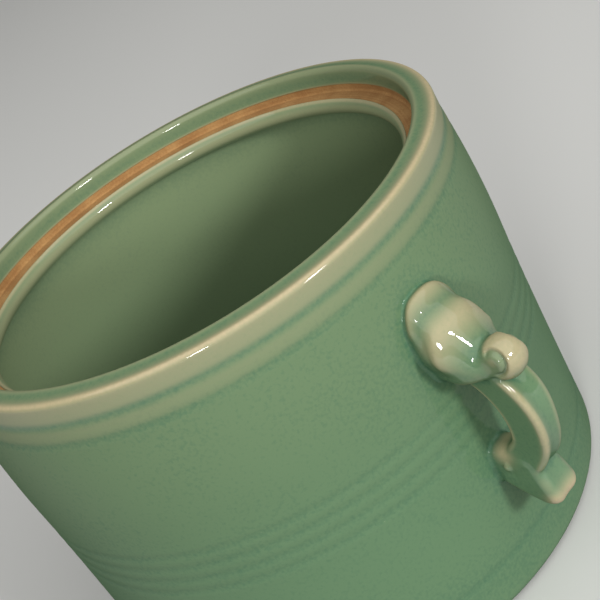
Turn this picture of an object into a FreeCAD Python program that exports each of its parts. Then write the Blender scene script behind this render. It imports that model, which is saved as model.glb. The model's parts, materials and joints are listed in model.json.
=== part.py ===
# A brush holder pot of glazed stoneware, in millimetres: a squat turned cylinder with a lid seat
# inside its lip and one scroll handle. The origin is on the pot's axis at the plane it stands on,
# +Z is up and the handle points along +X.
#
# The sheet named Sizes holds every driving size. A size written in a formula below is the name of
# a cell of that sheet, so each sketch follows the sheet.
import FreeCAD, Part
import math
import os
import re

import Sketcher
from FreeCAD import Placement, Rotation, Vector

SIZES = {
    # the pot
    "pot_height": 83.3,             # standing plane to the top of the lip
    "inside_radius": 49.6,          # inside of the wall, below the lid seat
    "wall_thickness": 6.4,          # at the swell, where the wall is thickest
    "wall_taper": 0.9,              # how much smaller the wall's outside is at its foot
    "swell_drop": 27.3,             # top of the lip down to where the wall's outside is widest
    "shoulder_draw": 1.0,           # how much the wall draws in from there up to the lip band
    "wall_lift": 0.5,               # the glazed wall ends this far above the standing plane
    "wall_foot_round": 1.9,         # rounding of the wall's lower outer edge
    # the foot and the floor
    "foot_depth": 2.5,              # standing plane to the underside of the floor
    "foot_width": 5.4,              # the bare ring, across its standing face
    "foot_edge_round": 0.6,
    "floor_thickness": 5.5,
    "floor_cove": 8.0,              # the hollow curve from the floor up to the wall
    # the lip band and the lid seat
    "seat_depth": 5.8,              # top of the lip down to the bare ledge
    "seat_recess": 0.8,             # the lid seat is turned this much wider than the wall's inside
    "lip_inner_round": 1.2,
    "lip_outer_round": 1.0,
    "lip_fall": 0.4,                # how much the lip's top slopes down to its outer edge
    "ledge_width": 3.8,             # from the lid seat's wall in to the ledge's edge
    "ledge_thickness": 1.8,
    "bead_overhang": 0.9,           # the glazed bead stands inside the ledge's edge by this much
    "bead_drop": 1.3,               # the ledge's underside down to the bead's
    "bead_flat": 0.8,               # the bead's underside, before it curves down to the wall
    # the turned string lines
    "line_tool_radius": 1.5,        # the tip of the turning tool that cuts the lines
    "rim_line_depth": 0.35,
    "wall_line_depth": 0.25,
    "lip_line_rise": 0.6,           # the line under the lip lies this far above the bare ledge
    "band_width": 4.1,              # the flat string between the two lines under the lip
    "middle_lines_drop": 37.8,      # top of the lip down to the highest of the middle lines
    "middle_line_pitch": 3.15,
    "middle_line_count": 4,
    "base_line_height": 9.9,
    # the handle: heights are measured from the centre of the finger hole, reaches from the wall
    "handle_drop": 43.7,            # top of the lip down to the centre of the finger hole
    "finger_inset": 4.9,            # the hole's centre lies this far inside the wall's face
    "finger_radius": 12.1,
    "finger_crown": 1.4,            # how much of the hole's top the thumb rest cuts off
    # the strap: a crescent between the finger hole and a circle that isn't concentric with it
    "strap_inset": 1.05,
    "strap_rise": 0.4,
    "strap_radius": 16.0,
    "strap_width": 5.5,
    "strap_edge_round": 0.9,
    # the thumb rest: arched sections across it, from the wall outwards. Each has the half width
    # of its lobes, the rise of its top, the crown from its top down to its lobes, and the half
    # width of its foot, which is narrower than the lobes
    "lobe_thickness": 2.4,
    "root_half_width": 6.2,
    "root_rise": 27.4,
    "root_crown": 3.6,
    "root_foot": 5.0,
    "ridge_reach": 1.3,
    "ridge_half_width": 6.4,
    "ridge_rise": 27.9,
    "ridge_crown": 3.6,
    "ridge_foot": 5.0,
    "valley_reach": 3.4,
    "valley_half_width": 6.6,
    "valley_rise": 24.9,
    "valley_crown": 3.6,
    "valley_foot": 4.8,
    "saddle_reach": 5.7,
    "saddle_half_width": 7.6,
    "saddle_rise": 22.4,
    "saddle_crown": 3.8,
    "saddle_foot": 4.7,
    "neck_reach": 9.9,
    "neck_half_width": 4.5,
    "neck_rise": 17.0,
    "neck_crown": 1.6,
    "neck_foot": 4.0,
    "curl_inset": 0.4,              # the last section's top lies this far inside the scroll's top
    "curl_crown": 1.0,
    "curl_foot": 3.4,
    # the scroll at the end of the thumb rest
    "scroll_seat": 3.9,             # its centre stands this far off the strap's outer face
    "scroll_turn": 45.9,            # degrees, from level up to its centre about the strap's centre
    "scroll_radius": 4.3,
    "scroll_half_width": 4.0,
    "scroll_edge_round": 2.2,
    "scroll_eye_radius": 1.2,
    "scroll_eye_depth": 0.5,
    # the spur under the strap
    "spur_half_width": 3.3,
    "spur_edge_round": 0.9,
    "spur_heel_reach": 1.6,         # where its underside leaves the strap's root
    "spur_heel_drop": 16.2,
    "spur_sole_reach": 5.4,
    "spur_sole_drop": 18.4,
    "spur_tip_reach": 8.2,
    "spur_tip_drop": 19.7,
    "spur_toe_reach": 10.8,
    "spur_toe_drop": 17.0,
    "spur_toe_round": 2.6,
    "spur_neck_reach": 10.0,
    "spur_neck_drop": 11.0,
}

# Heights and radii that follow from the driving sizes.
WALL_RADIUS = "(inside_radius + wall_thickness)"
WALL_FOOT_RADIUS = f"({WALL_RADIUS} - wall_taper)"
SEAT_HEIGHT = "(pot_height - seat_depth)"
SEAT_RADIUS = "(inside_radius + seat_recess)"
LIP_LINE_HEIGHT = f"({SEAT_HEIGHT} + lip_line_rise)"
RIM_RADIUS = f"({WALL_RADIUS} - shoulder_draw)"
SWELL_HEIGHT = "(pot_height - swell_drop)"
SHOULDER_RISE = f"({SEAT_HEIGHT} - {SWELL_HEIGHT})"
SHOULDER_RADIUS = f"(({SHOULDER_RISE} ^ 2 + shoulder_draw ^ 2) / (2 * shoulder_draw))"
FLOOR_TOP = "(foot_depth + floor_thickness)"
FOOT_RADIUS = "(inside_radius - foot_width)"
LEDGE_RADIUS = f"({SEAT_RADIUS} - ledge_width)"
LEDGE_UNDERSIDE = f"({SEAT_HEIGHT} - ledge_thickness)"
FINGER_HEIGHT = "(pot_height - handle_drop)"
FINGER_CENTRE = f"({WALL_RADIUS} - finger_inset)"
STRAP_HEIGHT = f"({FINGER_HEIGHT} + strap_rise)"
STRAP_CENTRE = f"({WALL_RADIUS} - strap_inset)"
THUMB_UNDERSIDE = f"({FINGER_HEIGHT} + finger_radius - finger_crown)"
SCROLL_CENTRE = f"({STRAP_CENTRE} + (strap_radius + scroll_seat) * cos(scroll_turn))"
SCROLL_HEIGHT = f"({STRAP_HEIGHT} + (strap_radius + scroll_seat) * sin(scroll_turn))"

STANDING_PLANE = "0"
POT_AXIS = "0"
FLAT = 1e-6                         # an edge thinner than this lies in one plane

doc = FreeCAD.newDocument("brush_holder_pot")
sheet = doc.addObject("Spreadsheet::Sheet", "Sizes")
for row, (alias, size) in enumerate(SIZES.items(), start=1):
    sheet.set(f"A{row}", alias)
    sheet.set(f"B{row}", str(size))
    sheet.setAlias(f"B{row}", alias)
doc.recompute()


def formula(text):
    """The text with each size's name turned into a reference to its cell."""
    return re.sub(r"[a-z_]+", lambda word: f"Sizes.{word[0]}" if word[0] in SIZES else word[0], text)


def value(text):
    """What a formula comes to, as a plain number."""
    result = sheet.evalExpression(formula(text))
    return float(getattr(result, "Value", result))


def wall_radius_at(height):
    """A formula for the radius of the wall's outside at a height below its swell."""
    share = f"({height} - wall_lift) / ({SWELL_HEIGHT} - wall_lift)"
    return f"({WALL_FOOT_RADIUS} + wall_taper * {share})"


def shoulder_radius_at(height):
    """A formula for the radius of the wall's outside at a height above its swell."""
    drop = f"sqrt({SHOULDER_RADIUS} ^ 2 - ({height} - {SWELL_HEIGHT}) ^ 2)"
    return f"({WALL_RADIUS} - {SHOULDER_RADIUS} + {drop})"


def plane_of(body, role):
    """One of the origin planes of a body, by its role."""
    return next(item for item in body.Origin.OriginFeatures if item.Role == role)


def new_body(name):
    """An empty body, whose name and label are those of its piece."""
    body = doc.addObject("PartDesign::Body", name)
    body.Label = name
    return body


def new_sketch(body, name, role, offset=(POT_AXIS, "0", STANDING_PLANE)):
    """An empty sketch on an origin plane, shifted by formulas given in the plane's own axes."""
    sketch = body.newObject("Sketcher::SketchObject", name)
    sketch.AttachmentSupport = [(plane_of(body, role), "")]
    sketch.MapMode = "FlatFace"
    for axis, shift in zip("xyz", offset):
        if shift != "0":
            sketch.setExpression(f".AttachmentOffset.Base.{axis}", formula(shift))
    return sketch


def fix(sketch, kind, label, text, *where):
    """Adds a dimension to a sketch and ties it to a formula."""
    index = sketch.addConstraint(Sketcher.Constraint(kind, *where, value(text)))
    sketch.renameConstraint(index, label)
    sketch.setExpression(f"Constraints.{label}", formula(text))


def fix_point(sketch, label, geometry, point, place):
    """Ties a point of a sketch to a pair of formulas, measured from the sketch's own origin."""
    for kind, axis, text in (("DistanceX", "across", place[0]), ("DistanceY", "up", place[1])):
        fix(sketch, kind, f"{label}_{axis}", text, -1, 1, geometry, point)


def arc_between(start, end, radius, turns_left):
    """The short arc of a radius from one point to another, on the side that it turns to."""
    chord = end - start
    half = chord.Length / 2
    radius = max(radius, half)
    to_centre = Vector(-chord.y, chord.x, 0).normalize() * math.sqrt(radius**2 - half**2)
    centre = (start + end) / 2 + (to_centre if turns_left else -to_centre)
    first, last = (start, end) if turns_left else (end, start)
    angles = [math.atan2(point.y - centre.y, point.x - centre.x) for point in (first, last)]
    return Part.ArcOfCircle(Part.Circle(centre, Vector(0, 0, 1), radius), *angles)


def draw_outline(sketch, corners):
    """Draws a closed outline that is tied to the sheet.

    Each corner is (across, up), or (across, up, radius) where an arc leads from it to the next
    corner. The radius is a formula, with a leading + for an arc that turns left and - for one
    that turns right.
    """
    places = [(corner[0], corner[1]) for corner in corners]
    points = [Vector(value(across), value(up), 0) for across, up in places]
    ends = []
    for number, corner in enumerate(corners):
        start, end = points[number], points[(number + 1) % len(points)]
        if len(corner) == 2:
            index = sketch.addGeometry(Part.LineSegment(start, end))
            ends.append((index, 1, 2))
            continue
        turns_left, radius = corner[2][0] == "+", corner[2][1:]
        index = sketch.addGeometry(arc_between(start, end, value(radius), turns_left))
        ends.append((index, 1, 2) if turns_left else (index, 2, 1))
    for number, (index, first, last) in enumerate(ends):
        following = ends[(number + 1) % len(ends)]
        sketch.addConstraint(Sketcher.Constraint("Coincident", index, last, following[0], following[1]))
    for number, (index, first, last) in enumerate(ends):
        fix_point(sketch, f"corner_{number}", index, first, places[number])
        if len(corners[number]) == 3:
            fix(sketch, "Radius", f"arc_{number}", corners[number][2][1:], index)


def draw_circle(sketch, label, centre, radius):
    """Draws a circle whose centre and radius are tied to the sheet."""
    middle = Vector(value(centre[0]), value(centre[1]), 0)
    index = sketch.addGeometry(Part.Circle(middle, Vector(0, 0, 1), value(radius)))
    fix_point(sketch, label, index, 3, centre)
    fix(sketch, "Radius", f"{label}_radius", radius, index)


def turn_about_own_axis(body, kind, name, profile):
    """Adds a full turn of a sketch about its own upright axis: a Revolution or a Groove."""
    feature = body.newObject(kind, name)
    feature.Profile = profile
    feature.ReferenceAxis = (profile, ["V_Axis"])
    feature.Angle = 360


def turned(name, corners):
    """A body turned about the pot's axis from an outline of radii and heights."""
    body = new_body(name)
    profile = new_sketch(body, f"{name}_profile", "XZ_Plane")
    draw_outline(profile, corners)
    turn_about_own_axis(body, "PartDesign::Revolution", f"{name}_turned", profile)
    return body


def cut_line(body, name, face, height, depth):
    """Turns one string line into the outside of a piece, whose face has a given radius there."""
    section = new_sketch(body, f"{name}_section", "XZ_Plane")
    centre = f"{face} + line_tool_radius - {depth}"
    draw_circle(section, "tool", (centre, height), "line_tool_radius")
    turn_about_own_axis(body, "PartDesign::Groove", name, section)


def padded(body, profile, width):
    """Gives a sketch in the handle's middle plane its width, half to each side."""
    pad = body.newObject("PartDesign::Pad", f"{body.Name}_pad")
    pad.Profile = profile
    pad.SideType = "Symmetric"
    pad.setExpression("Length", formula(width))
    return pad


def soften(body, pad, radius, is_wanted):
    """Rounds the edges of a pad that pass a test."""
    doc.recompute()
    names = [f"Edge{n}" for n, edge in enumerate(pad.Shape.Edges, start=1) if is_wanted(edge)]
    fillet = body.newObject("PartDesign::Fillet", f"{body.Name}_softened")
    fillet.Base = (pad, names)
    fillet.setExpression("Radius", formula(radius))


def lies_on_a_side(edge):
    """True for an edge in one of the two flat sides of a pad."""
    return edge.BoundBox.YLength < FLAT


def runs_round_a_curve(edge):
    """True for a curved edge in one of the two flat sides of a pad."""
    return lies_on_a_side(edge) and isinstance(edge.Curve, Part.Circle)


def cut_by(name, base, *tools):
    """The base less each tool in turn, as one named piece."""
    for number, tool in enumerate(tools, start=1):
        cut = doc.addObject("Part::Cut", name if number == len(tools) else f"{name}_cut_{number}")
        cut.Base = base
        cut.Tool = tool
        base = cut
    base.Label = name
    return base


def make_wall():
    """The wall, from the foot up to the lip band, with the cove on the floor and the string lines."""
    body = turned("wall", [
        ("inside_radius", "wall_lift"),
        (f"{WALL_FOOT_RADIUS} - wall_foot_round", "wall_lift", "+wall_foot_round"),
        (WALL_FOOT_RADIUS, "wall_lift + wall_foot_round"),
        (WALL_RADIUS, SWELL_HEIGHT, f"+{SHOULDER_RADIUS}"),
        (RIM_RADIUS, SEAT_HEIGHT),
        ("inside_radius", SEAT_HEIGHT),
        ("inside_radius", f"{FLOOR_TOP} + floor_cove", "-floor_cove"),
        ("inside_radius - floor_cove", FLOOR_TOP),
        ("inside_radius", FLOOR_TOP),
    ])
    band_foot = f"({LIP_LINE_HEIGHT} - band_width)"
    cut_line(body, "rim_line_in_wall", RIM_RADIUS, LIP_LINE_HEIGHT, "rim_line_depth")
    cut_line(body, "band_line", shoulder_radius_at(band_foot), band_foot, "rim_line_depth")
    for number in range(SIZES["middle_line_count"]):
        height = f"(pot_height - middle_lines_drop - middle_line_pitch * {number})"
        cut_line(body, f"middle_line_{number + 1}", wall_radius_at(height), height, "wall_line_depth")
    cut_line(body, "base_line", wall_radius_at("base_line_height"), "base_line_height", "wall_line_depth")
    return body


def make_floor_disc():
    """The floor, which fills the wall's foot."""
    return turned("floor_disc", [
        (POT_AXIS, "foot_depth"),
        ("inside_radius", "foot_depth"),
        ("inside_radius", FLOOR_TOP),
        (POT_AXIS, FLOOR_TOP),
    ])


def make_foot_ring():
    """The bare ring that the pot stands on, under the rim of the floor."""
    return turned("foot_ring", [
        (f"{FOOT_RADIUS} + foot_edge_round", STANDING_PLANE),
        ("inside_radius - foot_edge_round", STANDING_PLANE, "+foot_edge_round"),
        ("inside_radius", "foot_edge_round"),
        ("inside_radius", "foot_depth"),
        (FOOT_RADIUS, "foot_depth"),
        (FOOT_RADIUS, "foot_edge_round", "+foot_edge_round"),
    ])


def make_rim_collar():
    """The lip band: its inside is the wall of the lid seat, and its top slopes a little outwards."""
    body = turned("rim_collar", [
        (SEAT_RADIUS, SEAT_HEIGHT),
        (RIM_RADIUS, SEAT_HEIGHT),
        (RIM_RADIUS, "pot_height - lip_fall - lip_outer_round", "+lip_outer_round"),
        (f"{RIM_RADIUS} - lip_outer_round", "pot_height - lip_fall"),
        (f"{SEAT_RADIUS} + lip_inner_round", "pot_height", "+lip_inner_round"),
        (SEAT_RADIUS, "pot_height - lip_inner_round"),
    ])
    cut_line(body, "rim_line_in_collar", RIM_RADIUS, LIP_LINE_HEIGHT, "rim_line_depth")
    return body


def make_lid_ledge():
    """The flat bare ring inside the wall that a lid rests on, flush with the wall's top."""
    return turned("lid_ledge", [
        (LEDGE_RADIUS, LEDGE_UNDERSIDE),
        ("inside_radius", LEDGE_UNDERSIDE),
        ("inside_radius", SEAT_HEIGHT),
        (LEDGE_RADIUS, SEAT_HEIGHT),
    ])


def make_ledge_bead():
    """The glazed bead round the ledge's inner edge, with the curve under it that meets the wall."""
    bead_height = "(ledge_thickness + bead_drop)"
    bead_foot = f"({LEDGE_UNDERSIDE} - bead_drop)"
    bead_round = f"({bead_height} ^ 2 / (8 * bead_overhang) + bead_overhang / 2)"
    cove = "(ledge_width - seat_recess - bead_flat)"
    return turned("ledge_bead", [
        (LEDGE_RADIUS, SEAT_HEIGHT, f"+{bead_round}"),
        (LEDGE_RADIUS, bead_foot),
        (f"{LEDGE_RADIUS} + bead_flat", bead_foot, f"-{cove}"),
        ("inside_radius", f"{bead_foot} - {cove}"),
        ("inside_radius", LEDGE_UNDERSIDE),
        (LEDGE_RADIUS, LEDGE_UNDERSIDE),
    ])


def make_wall_core():
    """The whole room inside the wall's outer face, which the handle's roots are cut back to."""
    return turned("wall_core", [
        (POT_AXIS, "wall_lift"),
        (WALL_FOOT_RADIUS, "wall_lift"),
        (WALL_RADIUS, SWELL_HEIGHT, f"+{SHOULDER_RADIUS}"),
        (RIM_RADIUS, SEAT_HEIGHT),
        (POT_AXIS, SEAT_HEIGHT),
    ])


def make_scroll():
    """The rolled curl: a short barrel across the handle, with a small eye sunk in each end."""
    body = new_body("scroll")
    profile = new_sketch(body, "scroll_profile", "XY_Plane", (SCROLL_CENTRE, "0", SCROLL_HEIGHT))
    shoulder = "scroll_radius - scroll_edge_round"
    draw_outline(profile, [
        ("0", "scroll_eye_depth - scroll_half_width"),
        ("scroll_eye_radius", "scroll_eye_depth - scroll_half_width"),
        ("scroll_eye_radius", "-scroll_half_width"),
        (shoulder, "-scroll_half_width", "+scroll_edge_round"),
        ("scroll_radius", "scroll_edge_round - scroll_half_width"),
        ("scroll_radius", "scroll_half_width - scroll_edge_round", "+scroll_edge_round"),
        (shoulder, "scroll_half_width"),
        ("scroll_eye_radius", "scroll_half_width"),
        ("scroll_eye_radius", "scroll_half_width - scroll_eye_depth"),
        ("0", "scroll_half_width - scroll_eye_depth"),
    ])
    turn_about_own_axis(body, "PartDesign::Revolution", "scroll_turned", profile)
    return body


def make_thumb_rest(wall_core, scroll):
    """The lobed plate on its foot: lofted through arched sections, from the root to the scroll."""
    places = {"root": ("inside_radius", "root_half_width", f"{FINGER_HEIGHT} + root_rise")}
    for name in ("ridge", "valley", "saddle", "neck"):
        top = f"{FINGER_HEIGHT} + {name}_rise"
        places[name] = (f"{WALL_RADIUS} + {name}_reach", f"{name}_half_width", top)
    curl_top = f"{SCROLL_HEIGHT} + scroll_radius - curl_inset"
    places["curl"] = (SCROLL_CENTRE, "scroll_half_width", curl_top)
    body = new_body("thumb_rest_blank")
    sketches = []
    for name, (reach, half, top) in places.items():
        sketch = new_sketch(body, f"thumb_{name}", "YZ_Plane", ("0", "0", reach))
        crown, foot = f"{name}_crown", f"{name}_foot"
        lobe = f"{top} - {crown}"
        arch = f"({half} ^ 2 + {crown} ^ 2) / (2 * {crown})"
        draw_outline(sketch, [
            (f"-{foot}", THUMB_UNDERSIDE),
            (foot, THUMB_UNDERSIDE),
            (half, f"{lobe} - lobe_thickness"),
            (half, lobe, f"+{arch}"),
            (f"-{half}", lobe),
            (f"-{half}", f"{lobe} - lobe_thickness"),
        ])
        sketches.append(sketch)
    loft = body.newObject("PartDesign::AdditiveLoft", "thumb_rest_loft")
    loft.Profile = sketches[0]
    loft.Sections = sketches[1:]
    loft.Ruled = True
    return cut_by("thumb_rest", body, wall_core, scroll)


def make_handle_loop(wall_core, thumb_rest, scroll):
    """The strap, from the thumb rest's underside round the finger hole to the wall."""
    top_of_hole = f"{FINGER_CENTRE} + sqrt(finger_radius ^ 2 - (finger_radius - finger_crown) ^ 2)"
    top_of_back = f"{STRAP_CENTRE} + sqrt(strap_radius ^ 2 - ({THUMB_UNDERSIDE} - {STRAP_HEIGHT}) ^ 2)"
    body = new_body("handle_loop_blank")
    profile = new_sketch(body, "handle_loop_profile", "XZ_Plane")
    draw_outline(profile, [
        (STRAP_CENTRE, f"{STRAP_HEIGHT} - strap_radius", "+strap_radius"),
        (f"{STRAP_CENTRE} + strap_radius", STRAP_HEIGHT, "+strap_radius"),
        (top_of_back, THUMB_UNDERSIDE),
        (top_of_hole, THUMB_UNDERSIDE, "-finger_radius"),
        (f"{FINGER_CENTRE} + finger_radius", FINGER_HEIGHT, "-finger_radius"),
        (FINGER_CENTRE, f"{FINGER_HEIGHT} - finger_radius"),
    ])
    pad = padded(body, profile, "strap_width")
    soften(body, pad, "strap_edge_round", runs_round_a_curve)
    return cut_by("handle_loop", body, wall_core, thumb_rest, scroll)


def make_handle_spur(wall_core, handle_loop):
    """The spur: a leaf-shaped tail under the strap, whose toe points down and outwards."""
    body = new_body("handle_spur_blank")
    profile = new_sketch(body, "handle_spur_profile", "XZ_Plane")

    def place(name):
        return f"{WALL_RADIUS} + spur_{name}_reach", f"{FINGER_HEIGHT} - spur_{name}_drop"

    draw_outline(profile, [
        place("heel"),
        place("sole"),
        (*place("tip"), "+spur_toe_round"),
        place("toe"),
        place("neck"),
        (place("heel")[0], place("neck")[1]),
    ])
    pad = padded(body, profile, "2 * spur_half_width")
    soften(body, pad, "spur_edge_round", lies_on_a_side)
    return cut_by("handle_spur", body, wall_core, handle_loop)


def check_document():
    """Stops if any object of the document failed to compute."""
    failed = [item.Name for item in doc.Objects if {"Invalid", "Error"} & set(item.State)]
    if failed:
        raise RuntimeError(f"failed to compute: {', '.join(failed)}")


def export_pieces(pieces):
    """Checks each piece and writes it to a file that has its label as name."""
    for piece in pieces:
        shape = piece.Shape
        if shape.isNull() or not shape.isValid() or not shape.Solids:
            raise RuntimeError(f"{piece.Label} has no valid solid")
        shape.exportStep(f"parts/{piece.Label}.step")
        box = shape.optimalBoundingBox()
        print(f"{piece.Label}: {len(shape.Solids)} solid, {shape.Volume:.0f} mm3, "
              f"x {box.XMin:.1f} {box.XMax:.1f}, y {box.YMin:.1f} {box.YMax:.1f}, "
              f"z {box.ZMin:.1f} {box.ZMax:.1f}")


def main():
    """Builds every piece, checks them and writes their files."""
    pieces = [
        make_wall(), make_floor_disc(), make_foot_ring(),
        make_rim_collar(), make_lid_ledge(), make_ledge_bead(),
    ]
    wall_core = make_wall_core()
    scroll = make_scroll()
    thumb_rest = make_thumb_rest(wall_core, scroll)
    handle_loop = make_handle_loop(wall_core, thumb_rest, scroll)
    handle_spur = make_handle_spur(wall_core, handle_loop)
    pieces += [thumb_rest, scroll, handle_loop, handle_spur]
    for piece in pieces:
        piece.Placement = Placement(Vector(0, 0, 0), Rotation())
    doc.recompute()
    check_document()
    os.makedirs("parts", exist_ok=True)
    export_pieces(pieces)


main()
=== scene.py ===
"""Dresses the glazed stoneware brush pot: its turned body, its bare clay and its scroll handle.

The pot stands on the floor with its axis upright and its handle towards +X. Sizes are in
millimetres, and every mesh is written in metres with its place in its vertices.
"""

import json
import logging
import math
from collections.abc import Callable
from dataclasses import dataclass
from enum import Enum

import bpy
import numpy as np
from mathutils import Matrix, Vector


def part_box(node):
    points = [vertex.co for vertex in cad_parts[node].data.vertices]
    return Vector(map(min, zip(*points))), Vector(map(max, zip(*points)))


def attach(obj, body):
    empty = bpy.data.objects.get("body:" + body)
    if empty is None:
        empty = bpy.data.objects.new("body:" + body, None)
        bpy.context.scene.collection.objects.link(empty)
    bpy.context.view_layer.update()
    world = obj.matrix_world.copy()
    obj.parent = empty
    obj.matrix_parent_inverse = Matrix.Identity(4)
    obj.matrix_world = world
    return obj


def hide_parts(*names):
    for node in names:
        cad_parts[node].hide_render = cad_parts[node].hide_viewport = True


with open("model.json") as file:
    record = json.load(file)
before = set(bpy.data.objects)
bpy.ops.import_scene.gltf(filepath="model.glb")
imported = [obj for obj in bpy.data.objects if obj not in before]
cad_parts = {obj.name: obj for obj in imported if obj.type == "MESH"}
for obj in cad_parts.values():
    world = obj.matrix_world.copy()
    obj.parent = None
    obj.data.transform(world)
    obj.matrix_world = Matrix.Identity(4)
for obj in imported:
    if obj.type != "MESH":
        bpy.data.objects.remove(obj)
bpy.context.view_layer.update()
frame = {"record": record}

MM = 0.001
BODY = "root"
FOOT_WIDTH = 5.4
LOG = logging.getLogger("brush_pot")

Array = np.ndarray
Field = Callable[[Array], Array]


class Slot(Enum):
    """The record's material slots."""

    GLAZE = "celadon_glaze"
    CLAY = "bare_clay"


class Skin(Enum):
    """The per-vertex shares that the finishes read, each from 0 to 1."""

    THIN = "thin"        # how thin the glaze has drawn, as on a raised edge; inside, also painted fill light
    POOL = "pool"        # how deep it has gathered, as in a hollow
    GLOSS = "gloss"      # how glassy its surface is


# -------------------- sums on arrays


def ramp(value: Array, low: float, high: float) -> Array:
    """Rises smoothly from 0 at low to 1 at high: 3s^2 - 2s^3 of the clipped share s.

    Args:
        value: The numbers to place on the ramp.
        low: Where it starts. It may be above high, and then the ramp falls.
        high: Where it ends.

    Returns:
        The ramp's height for each number.
    """
    share = np.clip((value - low) / (high - low), 0.0, 1.0)
    return share * share * (3.0 - 2.0 * share)


def bell(distance: Array, width: float) -> Array:
    """A smooth bump, exp(-(distance / width)^2)."""
    return np.exp(-((distance / width) ** 2))


def melt(first: Array, second: Array, reach: float) -> Array:
    """Joins two solids with a fillet.

    The result is the smaller of the two distances, less reach / 4 times the square of how far
    they are from being reach apart, as a share of reach.

    Args:
        first: Distance to the first solid, negative inside it.
        second: Distance to the second solid.
        reach: How far apart the distances may be for the fillet to act.

    Returns:
        Distance to the joined solid.
    """
    near = np.clip(reach - np.abs(first - second), 0.0, None) / reach
    return np.minimum(first, second) - near**2 * reach / 4.0


def rounded(radius: "float | Array", *sides: Array) -> Array:
    """The solid that lies inside every side, with its edges rounded.

    Outside, the distance is the root of the summed squares of each side's distance from its own
    inset plane, less the radius. Deep inside it is the largest of the sides.

    Args:
        radius: The rounding of the edges.
        *sides: Distance past each side, negative inside.

    Returns:
        Distance to the solid.
    """
    raised = [np.maximum(side + radius, 0.0) for side in sides]
    outside = np.sqrt(sum(part**2 for part in raised))
    inside = np.minimum(np.maximum.reduce(sides) + radius, 0.0)
    return outside + inside - radius


def bulge(x: Array, z: Array, start: tuple, end: tuple) -> Array:
    """Distance in a plane to a tapered bar with round ends.

    It is the distance to the line between the ends less a radius that changes evenly along it.

    Args:
        x: Distance across.
        z: Height.
        start: Place and radius of one end, as (x, z, radius).
        end: Place and radius of the other end.

    Returns:
        Distance to the bar.
    """
    along = np.array([end[0] - start[0], end[1] - start[1]])
    share = ((x - start[0]) * along[0] + (z - start[1]) * along[1]) / (along @ along)
    share = np.clip(share, 0.0, 1.0)
    away = np.hypot(x - start[0] - share * along[0], z - start[1] - share * along[1])
    return away - (start[2] + share * (end[2] - start[2]))


@dataclass(frozen=True)
class Course:
    """A smooth course of one size along another, through a few stations."""

    stations: tuple[float, ...]
    values: tuple[float, ...]

    def __call__(self, at: Array) -> Array:
        """Reads the course: a cubic through each pair of stations that keeps its slope there.

        Args:
            at: Where to read it. Past either end it keeps the end's value.

        Returns:
            The size at each place.
        """
        x, v = np.array(self.stations), np.array(self.values)
        slope = np.gradient(v, x)
        at = np.clip(at, x[0], x[-1])
        i = np.clip(np.searchsorted(x, at, side="right") - 1, 0, len(x) - 2)
        gap = x[i + 1] - x[i]
        s = (at - x[i]) / gap
        ends = (1 + 2 * s) * (1 - s) ** 2 * v[i] + s * s * (3 - 2 * s) * v[i + 1]
        return ends + gap * (s * (1 - s) ** 2 * slope[i] + s * s * (s - 1) * slope[i + 1])

    def steepness(self, at: Array) -> Array:
        """The slope of the course, from its values a little to each side."""
        step = 0.05
        return (self(at + step) - self(at - step)) / (2 * step)


def beside(field: Field, points: Array, step: float) -> list[tuple[Array, Array]]:
    """A field's values a step below and a step above each point, along each axis in turn."""
    return [(field(points - shift), field(points + shift)) for shift in step * np.eye(3)]


def gradient_of(field: Field, points: Array, step: float) -> Array:
    """A field's slope along each axis, as (n, 3): its rise from below to above, over 2 steps."""
    pairs = beside(field, points, step)
    return np.stack([(above - below) / (2 * step) for below, above in pairs], axis=1)


def bend_of(field: Field, points: Array, step: float) -> Array:
    """How strongly a solid's surface bends: the sum of the field's second slopes.

    It is near 1 / radius on a rounded edge, 2 / radius on a ball, and negative in a hollow.

    Args:
        field: Gives a distance for each row of an (n, 3) array.
        points: Where to measure, as (n, 3).
        step: How far to each side to look, which is the scale of the bends that count.

    Returns:
        The bend at each point, per millimetre.
    """
    around = sum(below + above for below, above in beside(field, points, step))
    return (around - 6.0 * field(points)) / step**2


# -------------------- mesh making


@dataclass
class Shell:
    """A closed surface: its points in millimetres, its faces and its per-vertex shares."""

    points: Array
    faces: list[Array]
    shares: dict[Skin, Array]

    def to_object(self, name: str) -> bpy.types.Object:
        """Writes the surface to a new mesh object at the origin.

        Args:
            name: The piece's name.

        Returns:
            The object, smooth shaded, with one attribute for each share.
        """
        mesh = bpy.data.meshes.new(name)
        faces = [face for part in self.faces for face in part.tolist()]
        mesh.from_pydata((self.points * MM).tolist(), [], faces)
        mesh.shade_smooth()
        mesh.validate()
        for skin, share in self.shares.items():
            layer = mesh.attributes.new(skin.value, "FLOAT", "POINT")
            layer.data.foreach_set("value", np.clip(share, 0.0, 1.0).astype(np.float32))
        piece = bpy.data.objects.new(name, mesh)
        bpy.context.scene.collection.objects.link(piece)
        return piece


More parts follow.
